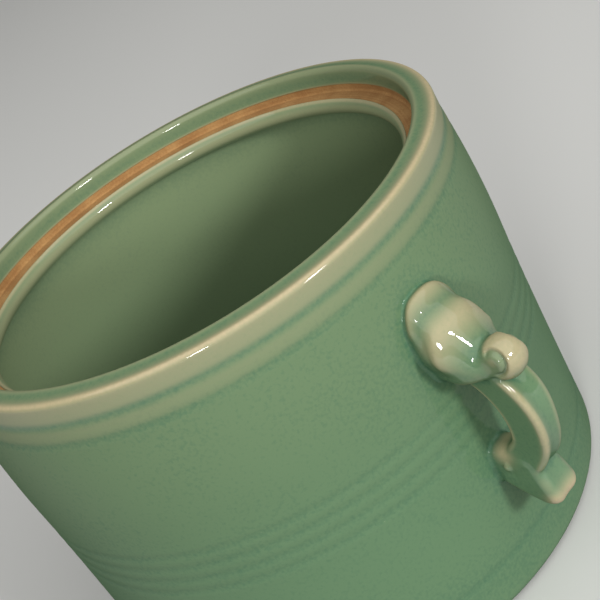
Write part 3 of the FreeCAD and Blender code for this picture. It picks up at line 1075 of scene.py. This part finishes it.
@dataclass(frozen=True)
class Scroll:
    """The curl at the thumb rest's end: a rounded barrel with a spiral groove in each end."""

    barrel: Circle = Circle(68.5, 54.3, 4.0)
    half: float = 3.2
    edge: float = 2.9
    aside: float = 0.4              # how far it sits towards -Y
    eye: tuple = (68.6, 55.5)
    start: float = 1.55             # the groove's distance from the eye where it starts
    growth: float = 0.0024          # share that this distance grows by, each degree
    depth: float = 0.6
    width: float = 0.38
    welt_gap: float = 0.95          # how far outside the groove the welt runs
    welt_rise: float = 0.15
    welt_width: float = 0.5
    boss: Spot = Spot(68.6, 55.5, 1.1)

    def volute(self, at: Places) -> tuple[Array, Array]:
        """Follows the spiral, whose distance from its eye grows evenly with the turn.

        Args:
            at: The places.

        Returns:
            The distance out from the spiral, and the turn along it in degrees.
        """
        x, z = at.x - self.eye[0], at.z - self.eye[1]
        turn = (150.0 - np.degrees(np.arctan2(z, x))) % 360.0
        return np.hypot(x, z) - self.start * np.exp(self.growth * turn), turn

    def curl(self, turn: Array) -> Array:
        """The stretch of the spiral that shows: it fades in at its start and out at its end."""
        return ramp(turn, 0.0, 30.0) * ramp(turn, 265.0, 225.0)

    def in_curl(self, at: Places) -> Array:
        """1 within the spiral, and 0 outside it along the stretch that shows."""
        away, turn = self.volute(at)
        return 1 - self.curl(turn) * ramp(away, -0.1, 0.35)

    def field(self, at: Places) -> Array:
        """Distance to the scroll, with the spiral's groove cut in and its welt laid on.

        Args:
            at: The places.

        Returns:
            The distances, negative inside.
        """
        across = np.abs(at.side + self.aside)
        barrel = rounded(self.edge, self.barrel.past(at), across - self.half)
        away, turn = self.volute(at)
        groove = self.depth * bell(away, self.width)
        welt = self.welt_rise * bell(away - self.welt_gap, self.welt_width)
        return barrel + self.curl(turn) * ramp(across, 1.0, 2.4) * (groove - welt)

    def drawn(self, at: Places) -> Array:
        """Where the glaze has drawn thin: over its outer face and on the boss in each end.

        Args:
            at: The places.

        Returns:
            How thin the glaze is at each place.
        """
        end = ramp(at.across, 1.6, 2.6)
        dome = ramp(at.x, 66.0, 67.4) * ramp(at.z, 51.0, 54.0) * (1 - 0.8 * end * self.in_curl(at))
        return np.maximum(0.7 * dome, 0.45 * self.boss.on(at.x, at.z) * end)


@dataclass(frozen=True)
class Spur:
    """The tail below the strap: a tongue with a dished outer face and a heel towards the wall."""

    # tapered bars, each end as (x, z, radius), and half of the width by height
    trunk: tuple = ((62.4, 28.2, 3.3), (64.7, 22.5, 2.9))
    heel: tuple = ((58.6, 25.7, 2.6), (62.6, 24.0, 3.0))
    half: Course = Course((19.5, 20.5, 22.0, 24.0, 29.0), (2.6, 3.3, 3.7, 3.8, 3.3))
    edge: float = 1.9
    hollow: float = 0.15
    fillet: float = 1.5
    tip: Spot = Spot(66.9, 21.6, 1.9)

    def field(self, at: Places) -> Array:
        """Distance to the spur.

        Args:
            at: The places.

        Returns:
            The distances, negative inside.
        """
        tongue = bulge(at.x, at.z, *self.trunk)
        tongue = tongue + self.hollow * bell(at.across, 1.7) * ramp(at.x, 62.0, 65.0)
        section = melt(tongue, bulge(at.x, at.z, *self.heel), self.fillet)
        return rounded(self.edge, section, at.across - self.half(at.z))

    def drawn(self, at: Places) -> Array:
        """Where the glaze has drawn thin: at its tip."""
        return self.tip.on(at.x, at.z)


@dataclass
class Handle:
    """The modelled handle: a thumb rest that curls into a scroll, a strap and a spur below it.

    It is the zero of a distance field: simple rounded solids melted together, then into the wall.
    """

    pot: PotBody
    strap: Strap = Strap()
    thumb: ThumbRest = ThumbRest()
    scroll: Scroll = Scroll()
    spur: Spur = Spur()
    # the pearls, as (x, distance to either side, z, radius)
    pearls: tuple = ((61.6, 5.2, 56.2, 0.9), (58.9, 3.1, 28.6, 0.7))
    # fillets between its parts, and how it meets the wall
    scroll_fillet: float = 1.5
    spur_fillet: float = 0.6
    strap_fillet: float = 0.9
    wall_fillet: float = 1.1
    skirt: float = 3.0
    skirt_depth: float = 1.0
    sunk: float = 0.06
    root: Spot = Spot(58.6, 31.4, 2.2)
    # the net's grid
    low: tuple = (53.2, -12.0, 15.5)
    high: tuple = (74.0, 12.0, 72.5)
    step: float = 0.3

    def own_field(self, points: Array) -> Array:
        """Distance to the handle by itself: its parts melted together.

        Args:
            points: The places, as (n, 3).

        Returns:
            The distances, negative inside.
        """
        at = Places(*points.T)
        thumb = melt(self.thumb.field(at), self.scroll.field(at), self.scroll_fillet)
        loop = melt(self.strap.field(at), self.spur.field(at), self.spur_fillet)
        whole = melt(thumb, loop, self.strap_fillet)
        for x, aside, z, radius in self.pearls:
            away = np.sqrt((at.x - x) ** 2 + (at.across - aside) ** 2 + (at.z - z) ** 2)
            whole = melt(whole, away - radius, self.strap_fillet)
        return whole

    def wall_field(self, points: Array) -> Array:
        """Distance to the pot's wall."""
        return np.hypot(points[:, 0], points[:, 1]) - self.pot.plain_radius(points[:, 2])

    def joined(self, own: Array, wall: Array) -> Array:
        """Distance to the handle melted into the wall, which it meets a little under its face."""
        return melt(own, wall + self.sunk, self.wall_fillet)

    def joined_field(self, points: Array) -> Array:
        """Distance to the handle and the wall as one solid."""
        return self.joined(self.own_field(points), self.wall_field(points))

    def piece_field(self, points: Array) -> Array:
        """Distance to the handle's own mesh: the joined solid, kept to a skirt round its roots.

        Args:
            points: The places, as (n, 3).

        Returns:
            The distances, negative inside.
        """
        own, wall = self.own_field(points), self.wall_field(points)
        outside_skirt = np.maximum(-wall - self.skirt_depth, own - self.skirt)
        return np.maximum(self.joined(own, wall), outside_skirt)

    def halo(self, points: Array) -> Array:
        """How much the glaze pools where handle and wall meet: it fades away from both."""
        away = sum(np.maximum(field(points), 0.0) for field in (self.own_field, self.wall_field))
        return 0.8 * np.exp(-away / 2.4)

    def gloss(self, points: Array) -> Array:
        """The glassy look of the glaze, which fades from the handle to the satin wall."""
        near = np.exp(-np.maximum(self.own_field(points), 0.0) / 1.2)
        return np.maximum(ramp(self.wall_field(points), 0.6, 2.0), 0.4 + 0.1 * near)

    def drawn(self, at: Places) -> Array:
        """Where the glaze has drawn thin: on its parts, and at the strap's lower root.

        Args:
            at: The places.

        Returns:
            How thin the glaze is at each place.
        """
        root = 0.95 * self.root.on(at.x, at.z) * ramp(at.across, 4.5, 3.0)
        parts = (self.thumb, self.scroll, self.strap, self.spur)
        return np.maximum.reduce([root, *(part.drawn(at) for part in parts)])

    def quiet(self, at: Places) -> Array:
        """How much a bend thins the glaze: less on the spur, on the far side and at the root."""
        zones = [at.z < 29.0, (at.side > 0) & (at.z < 50.0), at.z < 36.0]
        return np.select(zones, [0.35, 0.45, 0.6], 1.0)

    def shell(self) -> Shell:
        """Finds the handle's surface and works out the glaze's thickness over it.

        The glaze is thin where the surface bends outwards, finely or broadly, and where it has
        drawn thin. It is deep where the surface bends inwards, at the wall and in the valleys.

        Returns:
            The handle's surface.
        """
        points, quads = net(self.piece_field, self.low, self.high, self.step)
        points = settle(points, self.piece_field, 3, 0.4 * self.step)
        at = Places(*points.T)
        fine, broad = (bend_of(self.joined_field, points, scale) for scale in (0.8, 1.6))
        deep, halo = self.thumb.deep(at), self.halo(points)
        end = self.scroll.in_curl(at) * ramp(at.x, 65.0, 66.0) * ramp(at.z, 51.0, 52.5)
        bent = np.maximum(0.5 * ramp(fine, 0.45, 1.5), 0.6 * ramp(broad, 0.25, 0.8))
        bent = bent * (1 - 0.75 * deep) * (1 - 0.7 * end) * self.quiet(at)
        off_wall = ramp(self.wall_field(points), 0.3, 1.3)
        thin = np.maximum(bent, self.drawn(at)) * (1 - 0.7 * halo) * off_wall
        pool = np.maximum.reduce([0.8 * ramp(-broad, 0.02, 0.5), halo, 0.55 * deep])
        gloss = self.gloss(points)
        return Shell(points, [quads], {Skin.THIN: thin, Skin.POOL: pool, Skin.GLOSS: gloss})


# -------------------- the studio


def toward(azimuth: float, elevation: float) -> Vector:
    """The unit vector at an azimuth from +X and an elevation, both in degrees."""
    a, e = math.radians(azimuth), math.radians(elevation)
    return Vector((math.cos(a) * math.cos(e), math.sin(a) * math.cos(e), math.sin(e)))


@dataclass(frozen=True)
class Lamp:
    """A round softbox that looks at the pot."""

    name: str
    azimuth: float                  # degrees from +X
    elevation: float
    power: float                    # light on the pot, as a share of what shows a colour as written
    distance: float = 1.5           # metres
    width: float = 0.25             # metres


@dataclass
class Studio:
    """A pale floor, soft light and the camera."""

    aim: tuple = (0.0, 0.0, 82.76)
    azimuth: float = -29.0
    elevation: float = 21.0
    distance: float = 239.6
    yaw: float = 2.75
    pitch: float = -6.55
    roll: float = -32.36
    lens: float = 72.66
    floor_reach: float = 4.0        # metres
    surround: float = 0.07
    lamps: tuple[Lamp, ...] = (
        Lamp("softbox_left", -49.0, 14.0, 0.30),
        Lamp("softbox_right", 2.0, 21.0, 0.46),
        Lamp("soft_sheet_above", -25.0, 60.0, 0.58, width=4.0),
    )
    floor_seen: tuple = shade(226, 226, 222)
    floor_lit: tuple = shade(72, 72, 71)

    def add_camera(self) -> None:
        """Sets the camera a distance from its aim, then turns it by yaw, pitch and roll."""
        back = toward(self.azimuth, self.elevation)
        level = toward(self.azimuth + 90, 0)
        upward = back.cross(level)
        yaw, pitch, roll = (math.radians(angle) for angle in (self.yaw, self.pitch, self.roll))
        forward = (-back + math.tan(yaw) * level + math.tan(pitch) * upward).normalized()
        right = (level - forward * level.dot(forward)).normalized()
        up = right.cross(forward)
        rolled_right = math.cos(roll) * right + math.sin(roll) * up
        rolled_up = math.cos(roll) * up - math.sin(roll) * right
        turn = Matrix((rolled_right, rolled_up, -forward)).transposed().to_4x4()
        data = bpy.data.cameras.new("camera")
        data.lens, data.sensor_width = self.lens, 36.0
        data.clip_start, data.clip_end = 0.01, 20.0
        camera = bpy.data.objects.new("camera", data)
        place = (Vector(self.aim) + back * self.distance) * MM
        camera.matrix_world = Matrix.Translation(place) @ turn
        bpy.context.scene.collection.objects.link(camera)
        bpy.context.scene.camera = camera

    def add_lamps(self) -> None:
        """Hangs each softbox.

        Its power is pi^2 times its share times the sum of the squares of its distance and radius.
        """
        centre = Vector((0.0, 0.0, 0.045))
        for lamp in self.lamps:
            away = toward(lamp.azimuth, lamp.elevation)
            data = bpy.data.lights.new(lamp.name, "AREA")
            data.shape, data.size = "DISK", lamp.width
            data.energy = lamp.power * math.pi**2 * (lamp.distance**2 + (lamp.width / 2) ** 2)
            light = bpy.data.objects.new(lamp.name, data)
            light.location = centre + away * lamp.distance
            light.rotation_euler = away.to_track_quat("Z", "Y").to_euler()
            bpy.context.scene.collection.objects.link(light)

    def add_surround(self) -> None:
        """An even pale light from all round."""
        world = bpy.data.worlds.new("studio")
        world.use_nodes = True
        background = world.node_tree.nodes["Background"]
        background.inputs["Color"].default_value = (1.0, 1.0, 1.0, 1.0)
        background.inputs["Strength"].default_value = self.surround
        bpy.context.scene.world = world

    def add_floor(self) -> None:
        """A wide pale floor under the foot ring. It throws little light back up at the pot."""
        reach = self.floor_reach
        corners = [(-reach, -reach, 0), (reach, -reach, 0), (reach, reach, 0), (-reach, reach, 0)]
        mesh = bpy.data.meshes.new("floor")
        mesh.from_pydata(corners, [], [(0, 1, 2, 3)])
        bench = Bench("pale_floor")
        ray = bench.node("ShaderNodeLightPath", {}, {})
        kinds = ("Camera", "Glossy", "Transmission")
        camera, glossy, through = (Wire(bench, ray.outputs[f"Is {kind} Ray"]) for kind in kinds)
        colour = bench.mix(camera + glossy + through, self.floor_lit, self.floor_seen)
        mesh.materials.append(bench.finish({"Base Color": colour, "Roughness": 0.9}))
        floor = bpy.data.objects.new("floor", mesh)
        bpy.context.scene.collection.objects.link(floor)

    def build(self) -> None:
        """Sets up the whole studio."""
        self.add_camera()
        self.add_lamps()
        self.add_surround()
        self.add_floor()
        bpy.context.scene.view_settings.view_transform = "Standard"


# -------------------- assembly


def dress(
    name: str, shell: Shell, slot: Slot, finish: bpy.types.Material, nodes: tuple[str, ...]
) -> None:
    """Adds a piece to the scene in place of the plain solids that it stands for.

    Args:
        name: The piece's name.
        shell: Its surface.
        slot: The record's slot that its finish belongs to. It is not used.
        finish: Its material.
        nodes: The solids that it replaces.
    """
    piece = shell.to_object(name)
    piece.data.materials.append(finish)
    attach(piece, BODY)
    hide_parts(*nodes)
    LOG.info("%s: %d points, %d faces", name, len(shell.points), len(piece.data.polygons))


def measured_pot() -> PotBody:
    """Reads the body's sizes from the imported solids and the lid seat's mount.

    Returns:
        The body, whose other sizes are its own.
    """
    wall_low, wall_high = (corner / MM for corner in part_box("wall"))
    rim_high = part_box("rim_collar")[1] / MM
    floor_low, floor_high = (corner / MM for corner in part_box("floor_disc"))
    seat = next(mount for mount in frame["record"]["mounts"] if mount["name"] == "lid_seat")
    return PotBody(
        height=rim_high.z, swell=-wall_low.x, rim=rim_high.y,
        seat_radius=seat["dims"]["r_mm"], seat_height=wall_high.z,
        inside=floor_high.x, floor_under=floor_low.z, floor_top=floor_high.z, wall_lift=wall_low.z,
    )


def main() -> None:
    """Builds the pot piece by piece, then the studio."""
    logging.basicConfig(level=logging.INFO, format="%(message)s")
    glaze, clay = CeladonGlaze().make(), BareClay().make()
    pot = measured_pot()
    handle = Handle(pot)
    seat = ClayRing(seat_outline(pot))
    foot = ClayRing(foot_outline(pot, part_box("foot_ring")[0].z / MM, FOOT_WIDTH))
    dress("pot_body", pot.shell(handle), Slot.GLAZE, glaze,
          ("wall", "floor_disc", "rim_collar", "ledge_bead"))
    dress("bare_lid_seat", seat.shell(), Slot.CLAY, clay, ("lid_ledge",))
    dress("bare_foot", foot.shell(), Slot.CLAY, clay, ("foot_ring",))
    dress("handle", handle.shell(), Slot.GLAZE, glaze,
          ("thumb_rest", "scroll", "handle_loop", "handle_spur"))
    Studio().build()


if __name__ == "__main__":
    main()
